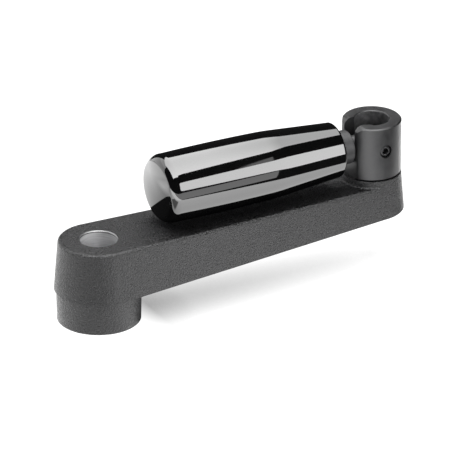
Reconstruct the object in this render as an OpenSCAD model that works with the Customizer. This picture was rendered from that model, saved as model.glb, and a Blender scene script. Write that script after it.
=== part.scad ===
// Crank arm with a revolving handle that is drawn out against a spring and folded down over the arm.
// Millimetres. The origin is on the shaft bore's axis at the hub's lower face, +Z is up along the shaft,
// and +X runs along the arm to the handle. The handle is drawn folded down, lying over the arm.

/* [Crank arm] */
// Distance from the shaft's axis to the hinge housing's axis
arm_l = 100; // [92:0.5:130]
// Height of the hub from its lower face to the arm's top
hub_h = 27.8; // [26:0.1:32]
// Height of the round boss under the arm
boss_h = 10.8; // [6:0.1:12]
// Diameter of that boss at its lower face
boss_d = 27.1; // [24:0.1:28]
// Diameter of the hub end at the arm's top
hub_top_d = 26.3; // [24:0.1:32]
// Height of the arm's underside at the handle end
end_z = 16.7; // [14:0.1:17]
// Diameter of the round seat that carries the hinge housing
seat_d = 19.5; // [19.4:0.1:24]
// Height of that seat above the arm's top
seat_h = 2.2; // [1.8:0.1:5]
// Slope of the cast side walls, in degrees
draft_deg = 4.4; // [1:0.1:6]
// Rounding along the arm's top edge
edge_r = 1.1; // [0.4:0.1:2]
// Hollow rounding between the arm's top and the seat
corner_r = 0.7; // [0.5:0.1:1.7]

/* [Shaft bore] */
// Diameter of the bore
shaft_d = 12; // [8:0.5:16]
// Chamfer at the bore's top
shaft_chamfer = 0.3; // [0.1:0.1:1]

/* [Hinge housing] */
// Outer diameter
housing_d = 19.3; // [18.6:0.1:20]
// Height above the seat
housing_h = 18.6; // [17.6:0.1:22]
// Diameter of the socket that takes the collar when the handle stands up
socket_d = 11.4; // [11.3:0.1:12.4]
// Height of the pivot above the seat
pivot_h = 10.35; // [10.2:0.05:11]
// Distance from the housing's axis to the flat that faces the folded handle
flat_x = 8.3; // [7.6:0.1:8.8]
// Width of the slot that the pull rod swings through
slot_w = 6.9; // [6.8:0.1:8]
// Bevel on the housing's upper edge
housing_bevel = 0.4; // [0.2:0.1:0.8]
// Height of the groove round the housing's foot
foot_h = 0.5; // [0.3:0.1:0.8]
// Depth of that groove
foot_depth = 0.5; // [0.3:0.1:0.8]
// Rounding of the corner between the flat and the top, which the collar rides over
nose_r = 2.6; // [1:0.1:3]
// Diameter of the spigot under the housing
spigot_d = 8; // [7:0.1:9]
// Length of the spigot
spigot_l = 4; // [3:0.1:5]

/* [Housing screw] */
// Thread diameter
fix_d = 5; // [4:0.5:5]
// Head diameter
fix_head_d = 8.5; // [7:0.1:9]
// Head height
fix_head_h = 5; // [3:0.1:5]
// Length under the head
fix_l = 10; // [9:0.5:10.5]
// Width across flats of its socket
fix_socket = 4; // [3:0.5:4]
// Thickness of the spring lock washer
lock_t = 1; // [0.6:0.1:1.4]
// Diameter of the pin that keeps the housing from turning
dowel_d = 2.5; // [1.5:0.1:2.6]
// Length of that pin
dowel_l = 7.4; // [6:0.1:8]
// Distance of that pin from the housing's axis
dowel_x = 6.6; // [6.2:0.1:7.2]

/* [Pivot screw] */
// Thread diameter
pivot_thread_d = 4; // [3.5:0.1:5]
// Diameter of the plain pin that the pull rod swings on
pivot_d = 3; // [2.5:0.1:3.3]
// Width across flats of its socket
pivot_socket = 2; // [1.5:0.1:2.5]
// Depth that the plain pin enters the far wall
pivot_bite = 2.6; // [1.5:0.1:3]
// Depth of the screw's end face under the housing's surface
pivot_recess = 0.45; // [0.2:0.05:1]

/* [Pull rod] */
// Diameter of the rod
rod_d = 6.5; // [6:0.1:6.6]
// Diameter of the eye at its end
eye_d = 9; // [8:0.1:9.2]
// Thickness of the eye
eye_t = 6.4; // [5:0.1:6.4]
// Distance from the pivot to the shoulder that carries the washer
rod_l = 46; // [42:0.5:48]
// Thread diameter at the rod's end
rod_thread_d = 4; // [3:0.5:4]
// Diameter of the washer on the rod's end
washer_d = 8.4; // [7.8:0.1:8.5]
// Thickness of that washer
washer_t = 1; // [0.8:0.1:2]
// Width across flats of the nut
nut_af = 7; // [6:0.1:7.2]
// Height of the nut
nut_h = 3.2; // [3:0.1:4]

/* [Handle sleeve] */
// Distance from the pivot to the collar end's face
collar_x = 9; // [8.9:0.1:9.6]
// Diameter of the sleeve
sleeve_d = 11.2; // [11:0.1:11.2]
// Length of the sleeve
sleeve_l = 46; // [44:0.1:47]
// Diameter of the room for the spring
spring_room_d = 8.8; // [8.6:0.1:9]
// Length of the bore that guides the pull rod
guide_l = 11; // [8:0.5:13]
// Thickness of the snap ring
ring_t = 1; // [0.8:0.1:1.2]
// Distance of the snap ring from the sleeve's free end
ring_back = 4; // [3:0.5:8]

/* [Spring] */
// Wire diameter
wire_d = 0.8; // [0.6:0.05:0.8]
// Mean coil diameter
coil_d = 7.6; // [7.5:0.05:7.7]
// Number of open turns
coil_turns = 8; // [5:1:10]

/* [Grip] */
// Largest diameter
grip_d = 23; // [20:0.1:23.6]
// Length
grip_l = 66.6; // [60:0.1:72]
// Length of the tapering part at the collar end
taper_l = 27.5; // [20:0.5:34]
// Slope of that part, in degrees
taper_deg = 5; // [2:0.1:7]
// Radius of the long, slight swell behind it
belly_r = 770; // [500:10:1500]
// Rounding where the two meet
bend_r = 100; // [40:5:150]
// Rounding at the free end's rim
rim_r = 3.8; // [1.5:0.1:5]
// Angle that this rounding turns through, in degrees
rim_turn_deg = 60; // [40:1:75]
// Height of the crowned end face over its edge
crown_h = 1.1; // [0.5:0.1:3]
// Rounding at the collar end
shoulder_r = 1; // [0.5:0.1:1.6]

/* [Clearances] */
// Running clearance on the radius
run_gap = 0.05; // [0.02:0.01:0.09]
// Clearance on the radius of threads and pressed pins
thread_gap = 0.03; // [0.01:0.01:0.05]
// Clearance at faces that pass each other
side_gap = 0.3; // [0.2:0.05:0.4]

/* [Hidden] */

// How far a cutter reaches past the face that it cuts, and a joined solid into its neighbour
cut = 1;
small_bevel = 0.25;

// Heights on the arm and the housing
seat_z = hub_h + seat_h;
pivot_z = seat_z + pivot_h;
housing_r = housing_d / 2;
socket_r = socket_d / 2;
draft = tan(draft_deg);

// The arm's flat sides touch its two round ends, and lie a hair inside them so that they meet in a clean line
web_inset = 0.02;
function hub_r(z) = hub_top_d / 2 + draft * (hub_h - z);
function end_r(z) = seat_d / 2 + draft * (seat_z - z);
wedge_deg = asin((hub_r(0) - end_r(0)) / arm_l);
boss_flare = 0.2;

// Column of the housing screw, from its head up
head_z = end_z + 0.1;
washer_z = head_z + fix_head_h;
screw_seat_z = washer_z + lock_t;
screw_top_z = washer_z + fix_l;
counterbore_d = fix_head_d + 1;
fix_hole_d = fix_d + 0.5;
lock_split = 0.8;
lock_split_deg = 25;

// Distances along the folded handle, measured from the pivot
eye_room = eye_d / 2 + 0.5;
sleeve_end = collar_x + sleeve_l;
guide_end = collar_x + guide_l;
ring_x = sleeve_end - ring_back;
nut_x = rod_l + washer_t;
rod_tip = 1.3;
grip_x = collar_x + 4.3;
grip_bore_end = sleeve_end + 4;
bore_cone = 2;

// Radii of the snap ring, which sits half in the sleeve and half in the grip
ring_in_r = sleeve_d / 2 - ring_t / 2;
ring_out_r = sleeve_d / 2 + ring_t / 2;
ring_opening = 3;

// Points of an arc round (x, y) from angle a to angle b in n steps
function arc(x, y, r, a, b, n) = [
  for (i = [0:n]) [x + r * cos(a + (b - a) * i / n), y + r * sin(a + (b - a) * i / n)]
];

// Puts a piece on the folded handle's axis, which is the piece's own +Z, at a distance from the pivot
module on_handle(distance) {
  translate([arm_l, 0, pivot_z])
    rotate([0, -90, 0])
      translate([0, 0, distance])
        children();
}

// A round bar with a bevel at its low and its high end
module round_bar(r, h, low, high) {
  rotate_extrude($fn = 96)
    polygon([[0, 0], [r - low, 0], [r, low], [r, h - high], [r - high, h], [0, h]]);
}

// A hole along +Z
module hole(r, from, to) {
  translate([0, 0, from])
    cylinder(r = r, h = to - from, $fn = 96);
}

// A round end of the casting: a drafted cone from the ground up, with its top edge rounded
module cast_end(r_low, r_top, top, edge) {
  rotate_extrude($fn = 128)
    polygon(concat(
      [[0, 0], [r_low, 0]],
      arc(r_top - edge, top - edge, edge, draft_deg, 90, 6),
      [[0, top]]
    ));
}

// Everything on the inner side of one drafted side wall, up to a level top with a rounded edge
module inside_wall(side, top, edge) {
  wall = hub_r(top) - web_inset;
  far = 3 * hub_top_d;
  mirror([0, side, 0])
    rotate([0, 0, -wedge_deg])
      rotate([90, 0, 90])
        linear_extrude(height = arm_l)
          polygon(concat(
            [[-far, 0], [hub_r(0) - web_inset, 0]],
            arc(wall - edge, top - edge, edge, draft_deg, 90, 6),
            [[-far, top]]
          ));
}

// Space between the arm's two side walls
module between_walls(top, edge) {
  intersection() {
    inside_wall(0, top, edge);
    inside_wall(1, top, edge);
  }
}

// Hollow corner where the arm's top runs up to the housing seat, cut off flush with the side walls
module seat_corner() {
  r = end_r(hub_h);
  intersection() {
    translate([arm_l, 0, hub_h])
      rotate_extrude($fn = 96)
        polygon(concat(
          [[r - cut, -cut], [r + corner_r, -cut]],
          arc(r + corner_r, corner_r, corner_r, 270, 180, 6),
          [[r - cut, corner_r]]
        ));
    between_walls(seat_z, small_bevel);
  }
}

// Everything under the arm's underside, which is level under the hub and rises toward the handle end
module under_arm() {
  reach = 2 * hub_top_d;
  end = arm_l + reach;
  rise = (end_z - boss_h) / arm_l;
  rotate([90, 0, 0])
    linear_extrude(height = 2 * reach, center = true)
      polygon([[-reach, -cut], [-reach, boss_h], [0, boss_h], [end, boss_h + rise * end], [end, -cut]]);
}

module boss() {
  low = boss_d / 2;
  rotate_extrude($fn = 128)
    polygon([[0, 0], [low - small_bevel, 0], [low, small_bevel], [low + boss_flare, boss_h + cut], [0, boss_h + cut]]);
}

// Stepped hole for the housing screw, the spigot and the locating pin
module housing_seat_holes() {
  translate([arm_l, 0, 0]) {
    hole(counterbore_d / 2, end_z - 3 * cut, screw_seat_z);
    hole(fix_hole_d / 2, end_z, seat_z);
    hole(spigot_d / 2 + thread_gap, seat_z - spigot_l - small_bevel, seat_z + cut);
  }
  translate([arm_l + dowel_x, 0, 0])
    hole(dowel_d / 2 + thread_gap, seat_z - dowel_l / 2 - small_bevel, seat_z + cut);
}

module crank_arm() {
  color("#26272b")
    difference() {
      union() {
        difference() {
          union() {
            cast_end(hub_r(0), hub_r(hub_h), hub_h, edge_r);
            translate([arm_l, 0, 0]) cast_end(end_r(0), end_r(seat_z), seat_z, small_bevel);
            between_walls(hub_h, edge_r);
            seat_corner();
          }
          under_arm();
        }
        boss();
      }
      hole(shaft_d / 2, -cut, hub_h + cut);
      translate([0, 0, hub_h - shaft_chamfer])
        cylinder(r1 = shaft_d / 2, r2 = shaft_d / 2 + 2 * shaft_chamfer, h = 2 * shaft_chamfer, $fn = 96);
      housing_seat_holes();
    }
}

// What the flat takes off the housing, with the corner toward the top left rounded
module flat_cut() {
  rotate([90, 0, 0])
    linear_extrude(height = housing_d, center = true)
      difference() {
        translate([-housing_r - cut, -cut]) square([housing_r + cut - flat_x + nose_r, housing_h + 2 * cut]);
        translate([-flat_x, -2 * cut]) square([2 * nose_r, housing_h + 2 * cut - nose_r]);
        translate([nose_r - flat_x, housing_h - nose_r]) circle(r = nose_r, $fn = 64);
      }
}

// Slot for the pull rod, open at the top, with a round end at the pivot's height
module rod_slot() {
  translate([-housing_r - cut, -slot_w / 2, pivot_h])
    cube([housing_r + cut, slot_w, housing_h]);
  translate([0, 0, pivot_h])
    rotate([0, -90, 0])
      hole(slot_w / 2, 0, housing_r + cut);
}

// Cross hole for the pivot screw: threaded in the near wall with a bevelled mouth, plain and blind in the far wall
module pivot_holes() {
  thread_r = pivot_thread_d / 2 + thread_gap;
  translate([0, 0, pivot_h])
    rotate([90, 0, 0]) {
      hole(thread_r, 0, housing_r + cut);
      hole(pivot_d / 2 + thread_gap, -socket_r - pivot_bite, 0);
      translate([0, 0, housing_r - small_bevel])
        cylinder(r1 = thread_r, r2 = thread_r + 2 * small_bevel, h = 2 * small_bevel, $fn = 48);
    }
}

module hinge_housing() {
  color("#1d1e21")
    translate([arm_l, 0, seat_z])
      difference() {
        union() {
          translate([0, 0, foot_h]) round_bar(housing_r, housing_h - foot_h, small_bevel, housing_bevel);
          round_bar(housing_r - foot_depth, foot_h + cut, small_bevel / 2, small_bevel / 2);
          translate([0, 0, -spigot_l]) round_bar(spigot_d / 2, spigot_l + cut, small_bevel, small_bevel);
        }
        hole(socket_r, pivot_h - eye_room, housing_h + cut);
        translate([0, 0, housing_h - small_bevel])
          cylinder(r1 = socket_r, r2 = socket_r + 2 * small_bevel, h = 2 * small_bevel, $fn = 96);
        flat_cut();
        rod_slot();
        pivot_holes();
        hole(fix_d / 2 + thread_gap, -spigot_l - cut, screw_top_z - seat_z + cut);
        translate([dowel_x, 0, 0])
          hole(dowel_d / 2 + thread_gap, -cut, dowel_l / 2 + small_bevel);
      }
}

module housing_screw() {
  color("#2a2b2e")
    translate([arm_l, 0, 0])
      difference() {
        union() {
          translate([0, 0, head_z]) round_bar(fix_head_d / 2, fix_head_h, 2 * small_bevel, small_bevel);
          translate([0, 0, washer_z - cut]) round_bar(fix_d / 2, fix_l + cut, small_bevel, 2 * small_bevel);
        }
        translate([0, 0, head_z - cut])
          cylinder(d = fix_socket / cos(30), h = fix_head_h / 2 + cut, $fn = 6);
      }
}

module lock_washer() {
  color("#3a3b3f")
    translate([arm_l, 0, washer_z])
      difference() {
        cylinder(d = fix_head_d, h = lock_t, $fn = 64);
        hole(fix_d / 2 + thread_gap, -cut, lock_t + cut);
        rotate([-lock_split_deg, 0, 0])
          translate([0, -lock_split / 2, -cut])
            cube([fix_head_d, lock_split, lock_t + 2 * cut]);
      }
}

module locating_pin() {
  color("#8d8f94")
    translate([arm_l + dowel_x, 0, seat_z - dowel_l / 2])
      round_bar(dowel_d / 2, dowel_l, small_bevel, small_bevel);
}

// Screw whose plain end crosses the socket as the pull rod's pivot
module pivot_screw() {
  thread_x = socket_r + small_bevel;
  head_x = housing_r - pivot_recess;
  tip_x = small_bevel - socket_r - pivot_bite;
  color("#2a2b2e")
    translate([arm_l, 0, pivot_z])
      rotate([90, 0, 0])
        difference() {
          union() {
            translate([0, 0, thread_x])
              round_bar(pivot_thread_d / 2, head_x - thread_x, small_bevel, 2 * small_bevel);
            translate([0, 0, tip_x]) round_bar(pivot_d / 2, thread_x + cut - tip_x, small_bevel, small_bevel);
          }
          translate([0, 0, head_x - pivot_socket])
            cylinder(d = pivot_socket / cos(30), h = pivot_socket + cut, $fn = 6);
        }
}

// An eye on the pivot, a round rod that runs in the sleeve, and a threaded end for the washer and the nut
module pull_rod() {
  color("#1f2023")
    on_handle(0)
      difference() {
        union() {
          rotate([90, 0, 0]) cylinder(d = eye_d, h = eye_t, center = true, $fn = 96);
          round_bar(rod_d / 2, rod_l, small_bevel, small_bevel);
          translate([0, 0, rod_l - cut])
            round_bar(rod_thread_d / 2, cut + washer_t + nut_h + rod_tip, small_bevel, 2 * small_bevel);
        }
        translate([0, eye_t, 0])
          rotate([90, 0, 0])
            hole(pivot_d / 2 + run_gap, 0, 2 * eye_t);
      }
}

module spring_washer() {
  color("#6d7076")
    on_handle(rod_l)
      difference() {
        cylinder(d = washer_d, h = washer_t, $fn = 64);
        hole(rod_thread_d / 2 + thread_gap, -cut, washer_t + cut);
      }
}

// Hexagon nut with its corners turned off at the free end
module rod_nut() {
  corner_d = nut_af / cos(30);
  color("#6d7076")
    on_handle(nut_x)
      difference() {
        intersection() {
          cylinder(d = corner_d, h = nut_h, $fn = 6);
          round_bar(corner_d / 2, nut_h, small_bevel, 2 * small_bevel);
        }
        hole(rod_thread_d / 2 + thread_gap, -cut, nut_h + cut);
      }
}

// Compression spring between the sleeve's guide and the washer: closed turns at each end, open turns between
end_turns = 1.25;
end_pitch = 1.15 * wire_d;
turns = coil_turns + 2 * end_turns;
turn_steps = 16;
wire_sides = 6;
open_l = rod_l - guide_end - wire_d - 2 * end_turns * end_pitch - 2 * run_gap;

// Height of the wire's centre after t turns
function wire_z(t) =
  wire_d / 2 + end_pitch * (min(t, end_turns) + max(t - end_turns - coil_turns, 0))
    + open_l * min(max(t - end_turns, 0), coil_turns) / coil_turns;

// Point of the wire's surface after t turns, at an angle round the wire
function wire_point(t, a) =
  let (r = coil_d / 2 + wire_d / 2 * cos(a))
    [r * cos(360 * t), r * sin(360 * t), wire_z(t) + wire_d / 2 * sin(a)];

module return_spring() {
  steps = round(turns * turn_steps);
  points = [
    for (i = [0:steps], k = [0:wire_sides - 1]) wire_point(turns * i / steps, 360 * k / wire_sides)
  ];
  walls = [
    for (i = [0:steps - 1], k = [0:wire_sides - 1])
      let (a = i * wire_sides + k, b = i * wire_sides + (k + 1) % wire_sides)
        [a, a + wire_sides, b + wire_sides, b]
  ];
  first_end = [for (k = [0:wire_sides - 1]) k];
  last_end = [for (k = [wire_sides - 1:-1:0]) steps * wire_sides + k];
  color("#9a9da3")
    on_handle(guide_end + run_gap)
      polyhedron(points = points, faces = concat(walls, [first_end], [last_end]), convexity = 8);
}

// Tube that slides on the pull rod: its end seats in the housing as a collar, and the grip turns on it
module handle_sleeve() {
  guide_r = rod_d / 2 + run_gap;
  color("#1f2023")
    on_handle(0)
      difference() {
        translate([0, 0, collar_x]) round_bar(sleeve_d / 2, sleeve_l, housing_bevel, housing_bevel);
        hole(guide_r, collar_x - cut, guide_end + cut);
        hole(spring_room_d / 2, guide_end, sleeve_end + cut);
        translate([0, 0, ring_x - ring_t / 2 - run_gap])
          difference() {
            cylinder(d = sleeve_d + 2 * cut, h = ring_t + 2 * run_gap, $fn = 96);
            hole(ring_in_r - run_gap, -cut, ring_t + cut);
          }
      }
}

// Open ring in the sleeve's groove and the grip's, which keeps the grip on the sleeve
module snap_ring() {
  color("#8d8f94")
    on_handle(ring_x - ring_t / 2)
      difference() {
        cylinder(r = ring_out_r, h = ring_t, $fn = 96);
        hole(ring_in_r, -cut, ring_t + cut);
        translate([0, -ring_opening / 2, -cut])
          cube([sleeve_d, ring_opening, ring_t + 2 * cut]);
      }
}

// Outline of the grip: cone, bend, long swell and rim, each tangent to the next, and the crown on the rim's edge.
// The arcs' centres follow from that, working back from the swell's widest place.
belly_x = (taper_l + grip_l) / 2;
belly_in = grip_d / 2 - belly_r;
bend_deg = asin((belly_x - taper_l) / belly_r);
bend_c = [belly_in + (belly_r - bend_r) * cos(bend_deg), belly_x - (belly_r - bend_r) * sin(bend_deg)];
cone_end = bend_c + bend_r * [cos(taper_deg), -sin(taper_deg)];
shoulder_in = cone_end[0] + ((shoulder_r - cone_end[1]) * sin(taper_deg) - shoulder_r) / cos(taper_deg);
rim_at = grip_l - crown_h - rim_r * sin(rim_turn_deg);
rim_deg = asin((rim_at - belly_x) / (belly_r - rim_r));
rim_in = belly_in + (belly_r - rim_r) * cos(rim_deg);
edge_in = rim_in + rim_r * cos(rim_turn_deg);
crown_r = (pow(edge_in, 2) + pow(crown_h, 2)) / (2 * crown_h);
crown_deg = acos(edge_in / crown_r);

grip_outline = concat(
  arc(shoulder_in, shoulder_r, shoulder_r, -90, -taper_deg, 5),
  arc(bend_c[0], bend_c[1], bend_r, -taper_deg, -bend_deg, 4),
  arc(belly_in, belly_x, belly_r, -bend_deg, rim_deg, 8),
  arc(rim_in, rim_at, rim_r, rim_deg, rim_turn_deg, 7),
  arc(0, grip_l - crown_r, crown_r, crown_deg, 90, 5)
);

module grip() {
  bore_r = sleeve_d / 2 + run_gap;
  bore_end = grip_bore_end - grip_x;
  groove_r = ring_out_r + run_gap;
  groove = ring_x - grip_x;
  half = ring_t / 2 + side_gap;
  color("#0d0d0e")
    on_handle(grip_x)
      rotate_extrude($fn = 128)
        polygon(concat(
          [[0, bore_end], [bore_r, bore_end - bore_cone]],
          [[bore_r, groove + half], [groove_r, groove + half]],
          [[groove_r, groove - half], [bore_r, groove - half], [bore_r, 0]],
          grip_outline
        ));
}

crank_arm();
hinge_housing();
housing_screw();
lock_washer();
locating_pin();
pivot_screw();
pull_rod();
spring_washer();
rod_nut();
return_spring();
handle_sleeve();
snap_ring();
grip();
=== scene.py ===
"""Crank handle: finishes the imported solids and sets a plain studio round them.

The frame is in metres. The origin is on the shaft bore's axis at the hub's lower face, +X runs along the arm to the
hinge housing and +Z is up. The handle lies folded down over the arm, so its axis runs along -X from the pivot.
"""

import math

import bmesh
import bpy
from mathutils import Matrix, Vector


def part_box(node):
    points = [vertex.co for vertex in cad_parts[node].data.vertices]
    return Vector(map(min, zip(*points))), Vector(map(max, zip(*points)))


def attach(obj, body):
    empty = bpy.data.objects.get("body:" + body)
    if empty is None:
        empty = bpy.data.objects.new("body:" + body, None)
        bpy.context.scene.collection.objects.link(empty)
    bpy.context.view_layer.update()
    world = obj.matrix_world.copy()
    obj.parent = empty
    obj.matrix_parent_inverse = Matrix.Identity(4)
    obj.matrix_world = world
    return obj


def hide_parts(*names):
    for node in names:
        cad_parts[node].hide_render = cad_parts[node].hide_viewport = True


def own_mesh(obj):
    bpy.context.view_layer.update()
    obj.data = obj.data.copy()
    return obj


bl_info = {
    "name": "Crank Handle",
    "version": (1, 0, 0),
    "blender": (4, 5, 0),
    "location": "3D View > Sidebar > Crank",
    "description": "Dresses a folding crank handle and sets a studio round it",
    "category": "Object",
}

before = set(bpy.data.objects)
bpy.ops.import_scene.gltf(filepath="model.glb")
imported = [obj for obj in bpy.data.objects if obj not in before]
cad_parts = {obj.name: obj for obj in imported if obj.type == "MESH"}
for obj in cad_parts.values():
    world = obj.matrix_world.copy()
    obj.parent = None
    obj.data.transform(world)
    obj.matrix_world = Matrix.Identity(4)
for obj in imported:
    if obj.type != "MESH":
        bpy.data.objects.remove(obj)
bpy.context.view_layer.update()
MM = 0.001


# Sizes and colours that a user would change


class CrankSizes(bpy.types.PropertyGroup):
    """Sizes of the pieces that are shaped here rather than carried over."""

    pivot: bpy.props.FloatVectorProperty(
        name="Pivot", description="Where the handle's pivot crosses its axis",
        default=(0.1, 0.0, 0.04035), subtype="XYZ", unit="LENGTH",
    )
    grip_start: bpy.props.FloatProperty(
        name="Grip start", description="Distance from the pivot to the grip's collar end",
        default=13.9 * MM, min=0.012, max=0.016, unit="LENGTH",
    )
    grip_length: bpy.props.FloatProperty(
        name="Grip length", description="Length of the grip", default=66 * MM, min=0.06, max=0.072, unit="LENGTH",
    )
    grip_diameter: bpy.props.FloatProperty(
        name="Grip diameter", description="Largest diameter of the grip",
        default=23 * MM, min=0.02, max=0.0236, unit="LENGTH",
    )
    taper_length: bpy.props.FloatProperty(
        name="Taper length", description="Length of the grip's tapering part",
        default=27.6 * MM, min=0.02, max=0.034, unit="LENGTH",
    )
    taper_angle: bpy.props.FloatProperty(
        name="Taper angle", description="Slope of the grip's tapering part",
        default=math.radians(4.8), subtype="ANGLE", unit="ROTATION",
    )
    rim_rounding: bpy.props.FloatProperty(
        name="Rim rounding", description="Rounding at the grip's free end",
        default=3.8 * MM, min=0.0015, max=0.005, unit="LENGTH",
    )
    rim_turn: bpy.props.FloatProperty(
        name="Rim turn", description="Angle that this rounding turns through",
        default=math.radians(60), min=0.7, max=1.31, subtype="ANGLE", unit="ROTATION",
    )
    crown_height: bpy.props.FloatProperty(
        name="Crown height", description="Height of the grip's crowned end face over its edge",
        default=1.1 * MM, min=0.0005, max=0.003, unit="LENGTH",
    )
    sleeve_start: bpy.props.FloatProperty(
        name="Sleeve start", description="Distance from the pivot to the collar's face",
        default=9 * MM, min=0.0089, max=0.0096, unit="LENGTH",
    )
    sleeve_length: bpy.props.FloatProperty(
        name="Sleeve length", description="Length of the sleeve",
        default=46 * MM, min=0.044, max=0.047, unit="LENGTH",
    )
    sleeve_diameter: bpy.props.FloatProperty(
        name="Sleeve diameter", description="Diameter of the sleeve and its collar",
        default=11.2 * MM, min=0.011, max=0.0112, unit="LENGTH",
    )
    wire_diameter: bpy.props.FloatProperty(
        name="Wire diameter", description="Diameter of the spring's wire",
        default=0.8 * MM, min=0.0006, max=0.0008, unit="LENGTH",
    )
    coil_diameter: bpy.props.FloatProperty(
        name="Coil diameter", description="Mean diameter of the spring's coil",
        default=7.6 * MM, min=0.0075, max=0.0077, unit="LENGTH",
    )
    open_turns: bpy.props.FloatProperty(
        name="Open turns", description="Number of open turns of the spring", default=8, min=5, max=10,
    )
    edge_softness: bpy.props.FloatProperty(
        name="Edge softness", description="Rounding that the coating leaves on the casting's edges",
        default=0.45 * MM, min=0.0001, max=0.001, unit="LENGTH",
    )


class CrankFinishes(bpy.types.PropertyGroup):
    """Colours and gloss of the crank's finishes."""

    coat: bpy.props.FloatVectorProperty(
        name="Coat", description="Colour of the casting's textured coating",
        default=(0.008, 0.008, 0.0085), subtype="COLOR", min=0, max=1,
    )
    coat_roughness: bpy.props.FloatProperty(
        name="Coat roughness", description="Roughness of the casting's coating", default=0.37, min=0, max=1,
    )
    grain: bpy.props.FloatProperty(
        name="Coat grain", description="Size of the coating's grain", default=0.55 * MM, min=0.0001, max=0.002,
        unit="LENGTH",
    )
    blacked: bpy.props.FloatVectorProperty(
        name="Blackened steel", description="Colour of the housing, rod and collar",
        default=(0.024, 0.024, 0.025), subtype="COLOR", min=0, max=1,
    )
    bare: bpy.props.FloatVectorProperty(
        name="Bare metal", description="Colour of the machined shaft bore",
        default=(0.68, 0.68, 0.69), subtype="COLOR", min=0, max=1,
    )
    moulding: bpy.props.FloatVectorProperty(
        name="Grip", description="Colour of the moulded grip",
        default=(0.003, 0.003, 0.0032), subtype="COLOR", min=0, max=1,
    )
    moulding_roughness: bpy.props.FloatProperty(
        name="Grip roughness", description="Roughness of the moulded grip", default=0.03, min=0, max=1,
    )


class CrankStudio(bpy.types.PropertyGroup):
    """Camera, lights and floor."""

    azimuth: bpy.props.FloatProperty(
        name="Azimuth", description="Camera's turn round the crank", default=math.radians(-28.438), subtype="ANGLE",
    )
    elevation: bpy.props.FloatProperty(
        name="Elevation", description="Camera's height above the horizon", default=math.radians(25.273),
        subtype="ANGLE",
    )
    target: bpy.props.FloatVectorProperty(
        name="Target", description="Point in the middle of the picture", default=(0.04594, 0.0, 0.02235),
        subtype="XYZ", unit="LENGTH",
    )
    distance: bpy.props.FloatProperty(
        name="Distance", description="Distance of the camera from the target", default=2.3317, unit="LENGTH",
    )
    lens: bpy.props.FloatProperty(
        name="Lens", description="Focal length of the camera in millimetres", default=578.95,
    )
    floor_glow: bpy.props.FloatProperty(
        name="Floor glow", description="How white the table looks away from the crank's shadow", default=1.3, min=0,
    )
    shadow_reach: bpy.props.FloatProperty(
        name="Shadow reach", description="Height up to which the arm shades the table under it",
        default=19.5 * MM, min=0, unit="LENGTH",
    )


# Node trees


class Wiring:
    """A node tree under construction."""

    def __init__(self, tree):
        self.tree = tree

    def node(self, kind, settings=None, **inputs):
        """A node with its settings, its inputs linked where a socket is given and set otherwise."""
        node = self.tree.nodes.new(kind)
        for key, value in (settings or {}).items():
            setattr(node, key, value)
        for key, value in inputs.items():
            numbered = key[0] == "i" and key[1:].isdigit()
            socket = node.inputs[int(key[1:]) if numbered else key.replace("_", " ")]
            if isinstance(value, bpy.types.NodeSocket):
                self.tree.links.new(value, socket)
            else:
                socket.default_value = value
        return node

    def math(self, operation, a, b=0.0, c=0.0):
        return self.node("ShaderNodeMath", {"operation": operation}, i0=a, i1=b, i2=c).outputs[0]

    def between(self, value, low, high, start=0.3, end=0.7):
        """Value spread over low to high."""
        return self.node(
            "ShaderNodeMapRange", Value=value, From_Min=start, From_Max=end, To_Min=low, To_Max=high,
        ).outputs["Result"]

    def within(self, value, low, high, edge):
        """1 between low and high, fading to 0 over edge on both sides."""
        rising = self.between(value, 0.0, 1.0, low - edge, low)
        return self.math("MULTIPLY", rising, self.between(value, 1.0, 0.0, high, high + edge))

    def patch(self, x, y, x_span, y_span, x_edge, y_edge):
        """1 in a rectangle of the plane, fading to 0 round it."""
        return self.math("MULTIPLY", self.within(x, *x_span, x_edge), self.within(y, *y_span, y_edge))

    def scaled(self, value, amount, share):
        """The value, changed by a share of itself where amount is 1."""
        return self.math("MULTIPLY", value, self.math("MULTIPLY_ADD", amount, share, 1.0))

    def curve(self, value, points):
        """A number that follows value along points of (place, number), straight between them."""
        (first, low), *rest = points
        result = low
        for place, number in rest:
            result = self.math("ADD", result, self.between(value, 0.0, number - low, first, place))
            first, low = place, number
        return result


class Finish(Wiring):
    """A material under construction, with short names for the nodes that the finishes share."""

    def __init__(self, name, roughness=0.5, metallic=0.0, ior=1.5, specular=0.5):
        self.material = bpy.data.materials.new(name)
        self.material.use_nodes = True
        super().__init__(self.material.node_tree)
        self.shader = self.tree.nodes["Principled BSDF"]
        for socket, number in (
            ("Roughness", roughness), ("Metallic", metallic), ("IOR", ior), ("Specular IOR Level", specular),
        ):
            self.shader.inputs[socket].default_value = number
        self.place = self.node("ShaderNodeTexCoord").outputs["Object"]

    def stretched(self, scale):
        """The object's coordinates, scaled along each axis."""
        return self.node("ShaderNodeMapping", Vector=self.place, Scale=scale).outputs["Vector"]

    def noise(self, size, detail=2.0, vector=None):
        """Noise whose features are about size metres across."""
        return self.node(
            "ShaderNodeTexNoise", Vector=vector or self.place, Scale=1.0 / size, Detail=detail,
        ).outputs["Fac"]

    def tones(self, value, dark, light, start=0.3, end=0.7):
        """A colour between dark and light."""
        ramp = self.node("ShaderNodeValToRGB", Fac=value)
        for stop, place, colour in zip(ramp.color_ramp.elements, (start, end), (dark, light)):
            stop.position = place
            stop.color = (*colour, 1.0)
        return ramp.outputs["Color"]

    def set(self, socket, value):
        self.tree.links.new(value, self.shader.inputs[socket])

    def bump(self, height, strength, depth, after=None):
        """Raises the surface by depth metres where height is 1."""
        bump = self.node("ShaderNodeBump", Strength=strength, Distance=depth, Height=height)
        if after:
            self.tree.links.new(after, bump.inputs["Normal"])
        self.set("Normal", bump.outputs["Normal"])
        return bump.outputs["Normal"]


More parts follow.
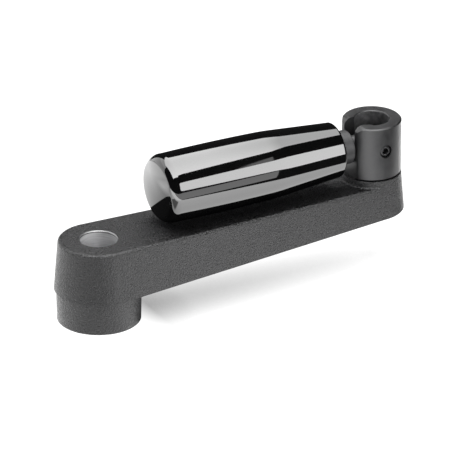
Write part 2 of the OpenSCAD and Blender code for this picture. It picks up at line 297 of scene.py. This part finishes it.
def shade(colour, factor):
    return tuple(min(1.0, c * factor) for c in colour)


def coated_casting(finishes):
    """Fine-textured, semi-matt black coating."""
    f = Finish("coated casting", roughness=finishes.coat_roughness, specular=0.255)
    grain = f.noise(finishes.grain, 3.0)
    f.set("Base Color", f.tones(grain, shade(finishes.coat, 0.2), shade(finishes.coat, 2.4)))
    f.set("Roughness", f.between(grain, finishes.coat_roughness - 0.15, finishes.coat_roughness + 0.15))
    f.bump(grain, 1.0, 0.42 * MM, f.bump(f.noise(4 * MM, 1.0), 0.15, 0.05 * MM))
    return f.material


def machined_bore(finishes):
    """Bare metal with the reamer's rings. Its colour is painted lighter toward the bore's depth, as painted light,
    and darker at the bore's rim, as painted shade that dims the chamfer's highlight.
    """
    f = Finish("machined bore", roughness=0.45, metallic=0.6)
    rings = f.noise(0.25 * MM, 1.0, f.stretched((0.04, 0.04, 1.0)))
    height = f.node("ShaderNodeSeparateXYZ", Vector=f.place).outputs["Z"]
    # Painted light and shade: colour raised deep in the bore and cut down at its rim.
    painted_bore_light = f.curve(height, ((20 * MM, 1.35), (27.05 * MM, 1.05), (27.3 * MM, 0.2)))
    metal = f.tones(rings, shade(finishes.bare, 0.8), shade(finishes.bare, 1.08))
    f.set("Base Color", f.node("ShaderNodeVectorMath", {"operation": "SCALE"}, i0=metal, Scale=painted_bore_light).outputs[0])
    f.bump(rings, 0.35, 0.03 * MM)
    return f.material


def blackened_steel(finishes):
    """Turned and blackened steel: soft sheen, faint cloudiness and fine turning marks along Z."""
    f = Finish("blackened steel", roughness=0.37, specular=0.28)
    cloud = f.noise(2.5 * MM, 3.0)
    marks = f.noise(0.12 * MM, 1.0, f.stretched((0.05, 0.05, 1.0)))
    f.set("Base Color", f.tones(cloud, shade(finishes.blacked, 0.85), shade(finishes.blacked, 1.2)))
    f.set("Roughness", f.between(cloud, 0.32, 0.42))
    f.bump(marks, 0.12, 0.02 * MM)
    return f.material


def joint_painted_shade(finishes):
    """Painted shade: a near-black, matt colour that darkens the housing's foot joint and the pivot screw's hole,
    where shade falls.
    """
    f = Finish("joint grime", roughness=0.9, specular=0.05)
    f.set("Base Color", f.tones(f.noise(0.6 * MM), shade(finishes.blacked, 0.1), shade(finishes.blacked, 0.3)))
    return f.material


def milled_socket_painted_light(finishes):
    """The socket's wall, left duller than the outside, with a mottle from the milling; its colour is a little paler
    than the outside as painted light that lifts the recessed wall.
    """
    f = Finish("milled socket", roughness=0.55, specular=0.35)
    mottle = f.noise(1.2 * MM, 2.0)
    # Painted light: tones paler than the housing's own lift the recessed wall.
    f.set("Base Color", f.tones(mottle, shade(finishes.blacked, 1.2), shade(finishes.blacked, 3.2)))
    f.set("Roughness", f.between(mottle, 0.45, 0.65))
    return f.material


def turned_collar(finishes):
    """The same blackened steel, turned about the handle's axis along X."""
    f = Finish("turned collar", roughness=0.5, specular=0.26)
    marks = f.noise(0.14 * MM, 1.0, f.stretched((1.0, 0.05, 0.05)))
    f.set("Base Color", f.tones(marks, shade(finishes.blacked, 0.8), shade(finishes.blacked, 1.3)))
    f.bump(marks, 0.2, 0.02 * MM)
    return f.material


def screw_steel(finishes):
    """Blackened screws, a little glossier."""
    f = Finish("screw steel", roughness=0.38, metallic=0.7)
    cloud = f.noise(0.8 * MM, 2.0)
    f.set("Base Color", f.tones(cloud, shade(finishes.blacked, 0.9), shade(finishes.blacked, 1.6)))
    f.set("Roughness", f.between(cloud, 0.32, 0.44))
    return f.material


def plated_steel(_):
    """Zinc plating with a faint crystalline mottle."""
    f = Finish("plated steel", roughness=0.3, metallic=1.0)
    mottle = f.noise(1.0 * MM, 3.0)
    f.set("Base Color", f.tones(mottle, (0.42, 0.43, 0.45), (0.56, 0.57, 0.59)))
    f.set("Roughness", f.between(mottle, 0.24, 0.38))
    return f.material


def spring_wire(_):
    """Drawn wire with fine length-wise streaks."""
    f = Finish("spring wire", roughness=0.25, metallic=1.0)
    streaks = f.noise(0.5 * MM, 2.0)
    f.set("Base Color", f.tones(streaks, (0.38, 0.38, 0.4), (0.58, 0.58, 0.6)))
    f.set("Roughness", f.between(streaks, 0.2, 0.34))
    return f.material


def moulded_grip(finishes):
    """Black moulding with a deep polish, whose surface swims very slightly."""
    f = Finish("moulded grip", roughness=finishes.moulding_roughness, ior=1.55)
    swim = f.noise(9 * MM, 1.0)
    f.set("Base Color", f.tones(swim, shade(finishes.moulding, 0.8), shade(finishes.moulding, 1.3)))
    f.set("Roughness", f.between(swim, finishes.moulding_roughness, finishes.moulding_roughness + 0.02))
    f.bump(swim, 0.05, 0.04 * MM)
    return f.material


FINISHES = {
    "coated_casting": coated_casting,
    "machined_bore": machined_bore,
    "black_steel": blackened_steel,
    "joint_painted_shade": joint_painted_shade,
    "milled_socket_painted_light": milled_socket_painted_light,
    "turned_collar": turned_collar,
    "black_screw": screw_steel,
    "plated_steel": plated_steel,
    "spring_wire": spring_wire,
    "black_phenolic": moulded_grip,
}
made_finishes = {}


def finish(name):
    """The finish of that name, made once."""
    if name not in made_finishes:
        made_finishes[name] = FINISHES[name](bpy.context.scene.crank_finishes)
    return made_finishes[name]


# Meshes


def new_object(name, mesh):
    piece = bpy.data.objects.new(name, mesh)
    bpy.context.scene.collection.objects.link(piece)
    return piece


def dress_node(node, finish_name):
    """Gives a carried-over solid its finish."""
    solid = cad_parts[node]
    solid.data.materials.clear()
    solid.data.materials.append(finish(finish_name))


def softened_copy(node, name, body, materials, softness, pick=None):
    """A copy of a solid with softened edges, which stands for it. pick gives each face's material number."""
    weld, flat = 0.002 * MM, math.radians(0.4)
    bm = bmesh.new()
    bm.from_mesh(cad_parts[node].data)
    bmesh.ops.remove_doubles(bm, verts=bm.verts, dist=weld)
    bmesh.ops.dissolve_degenerate(bm, edges=bm.edges, dist=weld)
    bmesh.ops.dissolve_limit(bm, angle_limit=flat, verts=bm.verts, edges=bm.edges)
    for face in bm.faces:
        face.smooth = True
        face.material_index = pick(face) if pick else 0
    mesh = bpy.data.meshes.new(name)
    bm.to_mesh(mesh)
    bm.free()
    for material in materials:
        mesh.materials.append(finish(material))
    piece = new_object(name, mesh)
    bevel = piece.modifiers.new("softened edges", "BEVEL")
    bevel.width = softness
    bevel.segments = 3
    bevel.limit_method = "ANGLE"
    bevel.angle_limit = math.radians(35)
    bevel.miter_outer = "MITER_ARC"
    bevel.harden_normals = False
    even = piece.modifiers.new("even shading", "WEIGHTED_NORMAL")
    even.weight = 60
    even.keep_sharp = True
    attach(piece, body)
    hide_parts(node)
    return piece


class Tree(Wiring):
    """A geometry node tree under construction."""

    def __init__(self, name, inputs):
        super().__init__(bpy.data.node_groups.new(name, "GeometryNodeTree"))
        face = self.tree.interface
        face.new_socket("Geometry", in_out="INPUT", socket_type="NodeSocketGeometry")
        face.new_socket("Geometry", in_out="OUTPUT", socket_type="NodeSocketGeometry")
        self.sockets = {}
        for title, kind in inputs.items():
            self.sockets[title] = face.new_socket(title, in_out="INPUT", socket_type=f"NodeSocket{kind}").identifier
        self.entry = self.tree.nodes.new("NodeGroupInput")
        self.exit = self.tree.nodes.new("NodeGroupOutput")

    def finish(self, geometry):
        """Closes the tree with Realize Instances and Set Material."""
        real = self.node("GeometryNodeRealizeInstances", Geometry=geometry)
        smooth = self.node("GeometryNodeSetShadeSmooth", Geometry=real.outputs[0])
        chosen = self.entry.outputs["Finish"]
        material = self.node("GeometryNodeSetMaterial", Geometry=smooth.outputs[0], Material=chosen)
        self.tree.links.new(material.outputs[0], self.exit.inputs[0])


def revolving_tree():
    """Turns the outline held in the object's own points about +X: each point's x is its place and y its radius."""
    t = Tree("turned piece", {"Outline points": "Int", "Facets": "Int", "Finish": "Material"})
    points, facets = t.entry.outputs["Outline points"], t.entry.outputs["Facets"]
    columns = t.math("ADD", facets, 1.0)
    grid = t.node("GeometryNodeMeshGrid", Vertices_X=points, Vertices_Y=columns)
    index = t.node("GeometryNodeInputIndex").outputs[0]
    row = t.math("FLOOR", t.math("DIVIDE", t.math("ADD", index, 0.5), columns))
    column = t.math("SUBTRACT", index, t.math("MULTIPLY", row, columns))
    angle = t.math("MULTIPLY", t.math("DIVIDE", column, facets), math.tau)
    position = t.node("GeometryNodeInputPosition").outputs[0]
    outline = t.node(
        "GeometryNodeSampleIndex", {"data_type": "FLOAT_VECTOR"},
        Geometry=t.entry.outputs["Geometry"], Value=position, Index=row,
    )
    parts = t.node("ShaderNodeSeparateXYZ", Vector=outline.outputs[0])
    place = t.node(
        "ShaderNodeCombineXYZ", X=parts.outputs[0],
        Y=t.math("MULTIPLY", parts.outputs[1], t.math("COSINE", angle)),
        Z=t.math("MULTIPLY", parts.outputs[1], t.math("SINE", angle)),
    )
    moved = t.node("GeometryNodeSetPosition", Geometry=grid.outputs[0], Position=place.outputs[0])
    merged = t.node("GeometryNodeMergeByDistance", Geometry=moved.outputs[0], Distance=1e-6)
    t.finish(merged.outputs[0])
    return t


def coiling_tree():
    """A compression spring along +X: closed turns at both ends and open turns between."""
    t = Tree("coiled spring", {
        "Length": "Float", "Wire": "Float", "Coil radius": "Float", "Open turns": "Float", "Closed turns": "Float",
        "Closed pitch": "Float", "Steps a turn": "Float", "Finish": "Material",
    })
    e = t.entry.outputs
    turns = t.math("MULTIPLY_ADD", e["Closed turns"], 2.0, e["Open turns"])
    count = t.math("MULTIPLY", turns, e["Steps a turn"])
    line = t.node("GeometryNodeMeshLine", Count=count)
    curve = t.node("GeometryNodeMeshToCurve", Mesh=line.outputs[0])
    turn = t.math("MULTIPLY", t.node("GeometryNodeSplineParameter").outputs["Factor"], turns)
    past_first = t.math("MAXIMUM", t.math("SUBTRACT", turn, e["Closed turns"]), 0.0)
    opened = t.math("MINIMUM", past_first, e["Open turns"])
    closed = t.math("SUBTRACT", turn, opened)
    open_length = t.math(
        "SUBTRACT", t.math("SUBTRACT", e["Length"], e["Wire"]),
        t.math("MULTIPLY", t.math("MULTIPLY", e["Closed turns"], 2.0), e["Closed pitch"]),
    )
    along = t.math(
        "MULTIPLY_ADD", opened, t.math("DIVIDE", open_length, e["Open turns"]),
        t.math("MULTIPLY_ADD", closed, e["Closed pitch"], t.math("MULTIPLY", e["Wire"], 0.5)),
    )
    angle = t.math("MULTIPLY", turn, math.tau)
    place = t.node(
        "ShaderNodeCombineXYZ", X=along, Y=t.math("MULTIPLY", e["Coil radius"], t.math("COSINE", angle)),
        Z=t.math("MULTIPLY", e["Coil radius"], t.math("SINE", angle)),
    )
    path = t.node("GeometryNodeSetPosition", Geometry=curve.outputs[0], Position=place.outputs[0])
    ring = t.node("GeometryNodeCurvePrimitiveCircle", Resolution=12, Radius=t.math("MULTIPLY", e["Wire"], 0.5))
    wire = t.node("GeometryNodeCurveToMesh", Curve=path.outputs[0], Profile_Curve=ring.outputs[0], Fill_Caps=True)
    t.finish(wire.outputs[0])
    return t


def grown(name, tree, values, seed_points, place):
    """The plain mesh that a tree makes, moved to its place in the frame."""
    seed = bpy.data.meshes.new(f"{name} outline")
    seed.from_pydata(seed_points, [], [])
    source = new_object(f"{name} source", seed)
    modifier = source.modifiers.new(tree.tree.name, "NODES")
    modifier.node_group = tree.tree
    for title, value in values.items():
        modifier[tree.sockets[title]] = value
    source.update_tag()
    evaluated = source.evaluated_get(bpy.context.evaluated_depsgraph_get())
    mesh = bpy.data.meshes.new_from_object(evaluated)
    bpy.data.objects.remove(source)
    if not mesh.polygons:
        raise RuntimeError(f"the tree for {name} made no faces")
    mesh.transform(place)
    bm = bmesh.new()
    bm.from_mesh(mesh)
    bmesh.ops.recalc_face_normals(bm, faces=bm.faces)
    for edge in bm.edges:
        edge.smooth = edge.calc_face_angle(0.0) < math.radians(32)
    bm.to_mesh(mesh)
    bm.free()
    mesh.name = name
    return new_object(name, mesh)


def along_handle(distance):
    """Turns a piece made along +X to lie along the folded handle, at a distance from the pivot."""
    pivot = Vector(bpy.context.scene.crank_sizes.pivot)
    return Matrix.Translation(pivot - Vector((distance, 0, 0))) @ Matrix.Rotation(math.pi, 4, "Z")


def arc(centre, radius, start, end, steps):
    """Points of an arc in the outline's plane, angles in radians from +y toward +x."""
    angles = (start + (end - start) * i / steps for i in range(steps + 1))
    return [(centre[0] + radius * math.sin(a), centre[1] + radius * math.cos(a), 0.0) for a in angles]


# Pieces


class CRANK_OT_arm(bpy.types.Operator):
    """Give the casting soft edges, its textured coating and a bare shaft bore"""

    bl_idname = "crank.arm"
    bl_label = "Cast arm"

    def execute(self, context):
        bore, foot = 6.45 * MM, 0.1 * MM

        def pick(face):
            middle = face.calc_center_median()
            return 1 if math.hypot(middle.x, middle.y) < bore and foot < middle.z else 0

        softened_copy(
            "crank_arm", "cast_arm", "arm", ["coated_casting", "machined_bore"],
            context.scene.crank_sizes.edge_softness, pick,
        )
        return {"FINISHED"}


class CRANK_OT_housing(bpy.types.Operator):
    """Give the hinge housing fine edges and a blackened sheen"""

    bl_idname = "crank.housing"
    bl_label = "Hinge housing"

    def execute(self, context):
        pivot = Vector(context.scene.crank_sizes.pivot)
        height, joint, socket, screw_hole, screw_side = 18.6 * MM, 0.52 * MM, 6.3 * MM, 2.6 * MM, -8 * MM
        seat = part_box("hinge_housing")[1][2] - height

        def pick(face):
            middle = face.calc_center_median()
            in_joint = seat - 0.1 * MM < middle.z < seat + joint
            beside = max(math.hypot(v.co.x - pivot.x, v.co.z - pivot.z) for v in face.verts)
            # Faces in the foot joint and in the pivot screw's hole take finish 1, a painted shade that darkens
            # them.
            if in_joint or (middle.y < screw_side and beside < screw_hole):
                return 1
            # Faces of the socket's wall take finish 2, whose paler colour is painted light on the recessed wall.
            within = max(math.hypot(v.co.x - pivot.x, v.co.y) for v in face.verts)
            return 2 if within < socket and middle.z > seat + joint and abs(face.normal.z) < 0.5 else 0

        softened_copy(
            "hinge_housing", "housing_body", "arm", ["black_steel", "joint_painted_shade", "milled_socket_painted_light"],
            0.18 * MM, pick,
        )
        return {"FINISHED"}


class CRANK_OT_fixings(bpy.types.Operator):
    """Finish the screw, washer and pin that hold the housing, and the pivot screw"""

    bl_idname = "crank.fixings"
    bl_label = "Screws and pin"

    def execute(self, context):
        for node in ("housing_screw", "lock_washer"):
            dress_node(node, "black_screw")
        dress_node("locating_pin", "plated_steel")
        softened_copy("pivot_screw", "pivot_screw_body", "arm", ["black_screw"], 0.1 * MM)
        return {"FINISHED"}


class CRANK_OT_rod(bpy.types.Operator):
    """Finish the pull rod with its washer and nut"""

    bl_idname = "crank.rod"
    bl_label = "Pull rod"

    def execute(self, context):
        softened_copy("pull_rod", "pull_rod_body", "rod", ["turned_collar"], 0.15 * MM)
        for node in ("spring_washer", "rod_nut"):
            dress_node(node, "plated_steel")
        return {"FINISHED"}


class CRANK_OT_spring(bpy.types.Operator):
    """Coil the return spring between the sleeve's guide and the washer"""

    bl_idname = "crank.spring"
    bl_label = "Return spring"

    def execute(self, context):
        sizes = context.scene.crank_sizes
        low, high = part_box("return_spring")
        piece = grown("coiled_spring", coiling_tree(), {
            "Length": high[0] - low[0], "Wire": sizes.wire_diameter, "Coil radius": sizes.coil_diameter / 2,
            "Open turns": sizes.open_turns, "Closed turns": 1.25, "Closed pitch": 1.15 * sizes.wire_diameter,
            "Steps a turn": 28.0, "Finish": finish("spring_wire"),
        }, [(0, 0, 0)], along_handle(sizes.pivot[0] - high[0]))
        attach(piece, "rod")
        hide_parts("return_spring")
        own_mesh(piece)
        return {"FINISHED"}


class CRANK_OT_sleeve(bpy.types.Operator):
    """Turn the sleeve, whose end shows as the collar, and finish its snap ring"""

    bl_idname = "crank.sleeve"
    bl_label = "Sleeve and collar"

    def execute(self, context):
        sizes = context.scene.crank_sizes
        radius, length = sizes.sleeve_diameter / 2, sizes.sleeve_length
        guide, room, guide_length = 3.3 * MM, 4.4 * MM, 11 * MM
        ring, groove, depth = length - 4 * MM, 0.55 * MM, 0.55 * MM
        edge, lead = 0.4 * MM, 0.2 * MM
        outline = [(0.0, guide + lead, 0.0)]
        outline += arc((edge, radius - edge), edge, -math.pi / 2, 0, 5)
        outline += [(ring - groove, radius, 0.0), (ring - groove, radius - depth, 0.0)]
        outline += [(ring + groove, radius - depth, 0.0), (ring + groove, radius, 0.0)]
        outline += [(length - edge, radius, 0.0), (length, radius - edge, 0.0)]
        outline += [(length, room, 0.0), (guide_length, room, 0.0), (guide_length, guide, 0.0)]
        outline += [(lead, guide, 0.0), outline[0]]
        piece = grown("collar_sleeve", revolving_tree(), {
            "Outline points": len(outline), "Facets": 128, "Finish": finish("turned_collar"),
        }, outline, along_handle(sizes.sleeve_start))
        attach(piece, "sleeve")
        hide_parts("handle_sleeve")
        dress_node("snap_ring", "spring_wire")
        return {"FINISHED"}


def grip_outline(sizes):
    """Outline of the grip from its collar end: cone, bend, long swell and rim, and the crown on the rim's edge."""
    length, widest = sizes.grip_length, sizes.grip_diameter / 2
    taper, slope, rim, turn, rise = (
        sizes.taper_length, sizes.taper_angle, sizes.rim_rounding, sizes.rim_turn, sizes.crown_height)
    belly, bend, shoulder = 0.77, 0.1, 1 * MM
    belly_x = (taper + length) / 2
    belly_in = widest - belly
    bend_turn = math.asin((belly_x - taper) / belly)
    bend_c = (belly_x - (belly - bend) * math.sin(bend_turn), belly_in + (belly - bend) * math.cos(bend_turn))
    cone_end = (bend_c[0] - bend * math.sin(slope), bend_c[1] + bend * math.cos(slope))
    shoulder_in = cone_end[1] + ((shoulder - cone_end[0]) * math.sin(slope) - shoulder) / math.cos(slope)
    rim_x = length - rise - rim * math.sin(turn)
    rim_start = math.asin((rim_x - belly_x) / (belly - rim))
    rim_in = belly_in + (belly - rim) * math.cos(rim_start)
    edge = rim_in + rim * math.cos(turn)
    crown = (edge**2 + rise**2) / (2 * rise)
    return (
        arc((shoulder, shoulder_in), shoulder, -math.pi / 2, -slope, 10)
        + arc(bend_c, bend, -slope, -bend_turn, 16)
        + arc((belly_x, belly_in), belly, -bend_turn, rim_start, 24)
        + arc((rim_x, rim_in), rim, rim_start, turn, 22)
        + arc((length - crown, 0.0), crown, math.acos(edge / crown), math.pi / 2, 14)
    )


class CRANK_OT_grip(bpy.types.Operator):
    """Turn the polished grip and the bore that it runs on"""

    bl_idname = "crank.grip"
    bl_label = "Grip"

    def execute(self, context):
        sizes = context.scene.crank_sizes
        play, room, point, lead = 0.05 * MM, 4 * MM, 2 * MM, 0.15 * MM
        bore = sizes.sleeve_diameter / 2 + play
        depth = sizes.sleeve_start + sizes.sleeve_length + room - sizes.grip_start
        inside = [(depth, 0.0, 0.0), (depth - point, bore, 0.0), (lead, bore, 0.0), (0.0, bore + lead, 0.0)]
        outline = inside + grip_outline(sizes)
        piece = grown("grip_moulding", revolving_tree(), {
            "Outline points": len(outline), "Facets": 192, "Finish": finish("black_phenolic"),
        }, outline, along_handle(sizes.grip_start))
        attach(piece, "grip_body")
        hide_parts("grip")
        return {"FINISHED"}


# Stage


def stage_mesh(name, points, faces, material):
    """A thing that only belongs to the stage."""
    mesh = bpy.data.meshes.new(name)
    mesh.from_pydata(points, [], faces)
    mesh.materials.append(material)
    piece = new_object(name, mesh)
    return piece


def bare_material(name):
    """A material without its usual shader, and the wiring of its tree."""
    material = bpy.data.materials.new(name)
    material.use_nodes = True
    tree = material.node_tree
    tree.nodes.remove(tree.nodes["Principled BSDF"])
    return material, Wiring(tree)


def first_sight(w):
    """1 where a surface sees the thing itself, and less where it sees its reflection in another surface."""
    return w.between(w.node("ShaderNodeLightPath").outputs["Ray Depth"], 1.0, 0.15, 1.0, 2.0)


def glow(name, front, back, right=1.0):
    """An emission that goes from one strength to another over the metre from front to back, and fades to a share of
    it on the right."""
    material, w = bare_material(name)
    place = w.node("ShaderNodeSeparateXYZ", Vector=w.node("ShaderNodeTexCoord").outputs["Object"]).outputs
    strength = w.math("MULTIPLY", w.between(place["Y"], front, back, -0.5, 0.5), first_sight(w))
    fade_from, fade_to = 0.41, 0.56
    strength = w.math("MULTIPLY", strength, w.between(place["X"], 1.0, right, fade_from, fade_to))
    emission = w.node("ShaderNodeEmission", Strength=strength)
    w.tree.links.new(emission.outputs[0], w.tree.nodes["Material Output"].inputs["Surface"])
    return material


def table_material(studio):
    """White table: plain white to the camera, with the crank's soft shadow. In reflections it is a lit sheet with
    paler and darker places, and a grey board in front of it. Places on it are in metres, as the frame has them."""
    material, w = bare_material("white table")
    path = w.node("ShaderNodeLightPath").outputs
    parts = w.node("ShaderNodeSeparateXYZ", Vector=w.node("ShaderNodeTexCoord").outputs["Object"]).outputs
    x, y = parts["X"], parts["Y"]
    cloth = w.node("ShaderNodeBsdfDiffuse", Color=(0.5, 0.5, 0.5, 1)).outputs[0]
    to_front = w.node("ShaderNodeCombineXYZ", Y=-0.25, Z=0.968).outputs[0]
    open_sky = w.node("ShaderNodeAmbientOcclusion", Distance=studio.shadow_reach, Normal=to_front).outputs["AO"]
    past_hub = w.between(x, 0.0, 1.0, 0.008, 0.018)
    shadow = w.math("MULTIPLY", w.math("SUBTRACT", 1.0, open_sky), past_hub)
    shown = w.math("MULTIPLY_ADD", shadow, -studio.floor_glow, studio.floor_glow)
    white = w.node("ShaderNodeEmission", Strength=shown).outputs[0]
    seen = w.node("ShaderNodeMixShader", Fac=path["Is Camera Ray"], i1=cloth, i2=white).outputs[0]
    sheet = w.curve(y, (
        (-0.09, 6.6), (-0.05, 5.5), (-0.022, 4.0), (0.0, 3.4), (0.055, 2.0), (0.13, 4.2), (0.25, 4.2), (0.5, 1.6),
        (1.2, 0.3),
    ))
    slanted_end = w.math("GREATER_THAN", w.math("MULTIPLY_ADD", x, -0.8, y), -0.157)
    right_end = w.between(x, 1.0, 0.04, 0.18, 0.26)
    sheet = w.math("MULTIPLY", w.math("MULTIPLY", sheet, slanted_end), right_end)
    behind_arm = w.math("MULTIPLY", w.math("GREATER_THAN", y, 0.0), w.between(x, 0.0, 0.38, -0.03, 0.02))
    sheet = w.scaled(sheet, behind_arm, -1.0)
    # Painted shadow: the sheet is dimmed under the arm, where the arm shades the table in reflections.
    across_arm = w.between(w.math("ABSOLUTE", y), 1.0, 0.0, 0.009, 0.0135)
    painted_arm_shadow = w.math("MULTIPLY", across_arm, w.between(x, 0.0, 0.97, -0.004, 0.008))
    sheet = w.scaled(sheet, painted_arm_shadow, -1.0)
    left_of_hub = w.patch(x, y, (-0.036, -0.02), (-0.04, 0.008), 0.007, 0.01)
    before_hub = w.patch(x, y, (-0.08, -0.006), (-0.085, -0.035), 0.012, 0.012)
    left_of_grip = w.patch(x, y, (-0.25, -0.07), (0.04, 0.08), 0.02, 0.03)
    for place, share in ((left_of_hub, 0.1), (before_hub, -0.8), (left_of_grip, 0.7)):
        sheet = w.scaled(sheet, place, share)
    right_edge = w.patch(x, y, (0.165, 0.26), (-0.03, 0.1), 0.02, 0.03)
    sheet = w.math("MULTIPLY_ADD", right_edge, 1.7, sheet)
    board_end = w.math("LESS_THAN", w.math("MULTIPLY_ADD", y, 0.58, x), 0.053)
    board = w.math("MULTIPLY", w.math("LESS_THAN", y, -0.112), board_end)
    strength = w.math("ADD", sheet, w.math("MULTIPLY_ADD", board, 2.7, 0.05))
    strength = w.math("MULTIPLY", strength, first_sight(w))
    mirrored = w.node("ShaderNodeEmission", Strength=strength).outputs[0]
    whole = w.node("ShaderNodeMixShader", Fac=path["Is Glossy Ray"], i1=seen, i2=mirrored).outputs[0]
    w.tree.links.new(whole, w.tree.nodes["Material Output"].inputs["Surface"])
    return material


def studio_world(scene):
    """White behind the crank for the camera, dim round it for everything else."""
    world = bpy.data.worlds.new("studio")
    world.use_nodes = True
    w = Wiring(world.node_tree)
    path = w.node("ShaderNodeLightPath").outputs
    dim = w.between(path["Is Glossy Ray"], 0.1, 0.03, 0.0, 1.0)
    level = w.math("MAXIMUM", path["Is Camera Ray"], dim)
    background = w.tree.nodes["Background"]
    background.inputs["Color"].default_value = (1, 1, 1, 1)
    w.tree.links.new(level, background.inputs["Strength"])
    scene.world = world


class CRANK_OT_stage(bpy.types.Operator):
    """Set the table, the soft lights and the camera"""

    bl_idname = "crank.stage"
    bl_label = "Stage"

    def execute(self, context):
        scene, studio = context.scene, context.scene.crank_studio
        studio_world(scene)
        reach, level = 3.0, -0.02 * MM
        corners = [(-reach, -reach, level), (reach, -reach, level), (reach, reach, level), (-reach, reach, level)]
        stage_mesh("table", corners, [(0, 1, 2, 3)], table_material(studio))
        axis_height = context.scene.crank_sizes.pivot[2]
        middle, distance, facets = 0.05, 0.8, 16

        def round_handle(turn, along):
            """A point round the handle's axis: turn is the angle from -Y up toward +Z, in degrees."""
            a = math.radians(turn)
            return (middle + along, -distance * math.cos(a), axis_height + distance * math.sin(a))

        def card(name, points, steps, material):
            """A card of strips, whose rows of points are steps faces long, which only lights the crank."""
            row = steps + 1
            starts = (r + i for r in range(0, len(points) - row, row) for i in range(steps))
            piece = stage_mesh(name, points, [(a, a + 1, a + row + 1, a + row) for a in starts], material)
            piece.visible_camera = False
            return piece

        def soft_box(name, front, back, ends, right=1.0):
            """A card bent round the handle, through ends of (place from its middle, lowest turn, highest turn)."""
            points = [
                round_handle(low + (high - low) * i / facets, along)
                for along, low, high in ends for i in range(facets + 1)
            ]
            return card(name, points, facets, glow(name, front, back, right))

        overhead = ((-0.5, 52, 112), (0.2, 51.5, 137.5), (0.76, 96, 114))
        sill = ((0.385, 34.3, 34.5), (0.41, 34.9, 42), (0.445, 35.7, 50))
        soft_box("overhead_box", 14.5, 8.3, overhead, 0.6).visible_diffuse = False
        soft_box("front_box", 11.5, 11.5, ((0.16, 10, 29), (0.76, -8, 43))).visible_diffuse = False
        soft_box("front_sill", 2.0, 2.0, sill).visible_diffuse = False
        soft_box("back_fill", 5.0, 5.0, ((-0.4, 100, 160), (0.6, 100, 160))).visible_glossy = False
        soft_box("front_fill", 5.5, 5.5, ((-0.45, 0, 34), (0.25, 0, 34))).visible_glossy = False
        turns = [math.radians(98 + 6 * i) for i in range(11)]

        def left_card(name, front, back, rims):
            """A card to the left of the hub, between two rims of (distance, height)."""
            points = [(r * math.cos(a), r * math.sin(a), height) for r, height in rims for a in turns]
            card(name, points, len(turns) - 1, glow(name, front, back))

        left_card("left_screen", 2.6, 3.0, ((0.9, 0.0), (0.9, 0.7)))
        left_card("left_hood", 3.0, 4.0, ((0.9, 0.7), (0.42, 0.86)))

        scene.view_settings.view_transform = "Standard"
        data = bpy.data.cameras.new("camera")
        data.lens = studio.lens
        data.sensor_width = 36.0
        data.clip_start, data.clip_end = 0.1, 50.0
        camera = bpy.data.objects.new("camera", data)
        scene.collection.objects.link(camera)
        turn, rise = studio.azimuth, studio.elevation
        back = Vector((math.sin(turn) * math.cos(rise), -math.cos(turn) * math.cos(rise), math.sin(rise)))
        camera.location = Vector(studio.target) + studio.distance * back
        camera.rotation_euler = back.to_track_quat("Z", "Y").to_euler()
        scene.camera = camera
        return {"FINISHED"}


class CRANK_PT_panel(bpy.types.Panel):
    """Lists the crank's sizes, finishes and steps."""

    bl_idname = "CRANK_PT_panel"
    bl_label = "Crank Handle"
    bl_space_type = "VIEW_3D"
    bl_region_type = "UI"
    bl_category = "Crank"

    def draw(self, context):
        for title, group in (
            ("Sizes", context.scene.crank_sizes),
            ("Finishes", context.scene.crank_finishes),
            ("Studio", context.scene.crank_studio),
        ):
            box = self.layout.box()
            box.label(text=title)
            for key in group.bl_rna.properties.keys():
                if key not in {"rna_type", "name"}:
                    box.prop(group, key)
        for operator in STEPS:
            self.layout.operator(operator.bl_idname)


STEPS = (
    CRANK_OT_arm, CRANK_OT_housing, CRANK_OT_fixings, CRANK_OT_rod, CRANK_OT_spring, CRANK_OT_sleeve, CRANK_OT_grip,
    CRANK_OT_stage,
)
GROUPS = {"crank_sizes": CrankSizes, "crank_finishes": CrankFinishes, "crank_studio": CrankStudio}


def register():
    for cls in (*GROUPS.values(), *STEPS, CRANK_PT_panel):
        bpy.utils.register_class(cls)
    for name, group in GROUPS.items():
        setattr(bpy.types.Scene, name, bpy.props.PointerProperty(type=group))


def unregister():
    for name in GROUPS:
        delattr(bpy.types.Scene, name)
    for cls in (CRANK_PT_panel, *reversed(STEPS), *reversed(GROUPS.values())):
        bpy.utils.unregister_class(cls)


def main():
    register()
    bpy.ops.crank.arm()
    bpy.ops.crank.housing()
    bpy.ops.crank.fixings()
    bpy.ops.crank.rod()
    bpy.ops.crank.spring()
    bpy.ops.crank.sleeve()
    bpy.ops.crank.grip()
    bpy.ops.crank.stage()


if __name__ == "__main__":
    main()
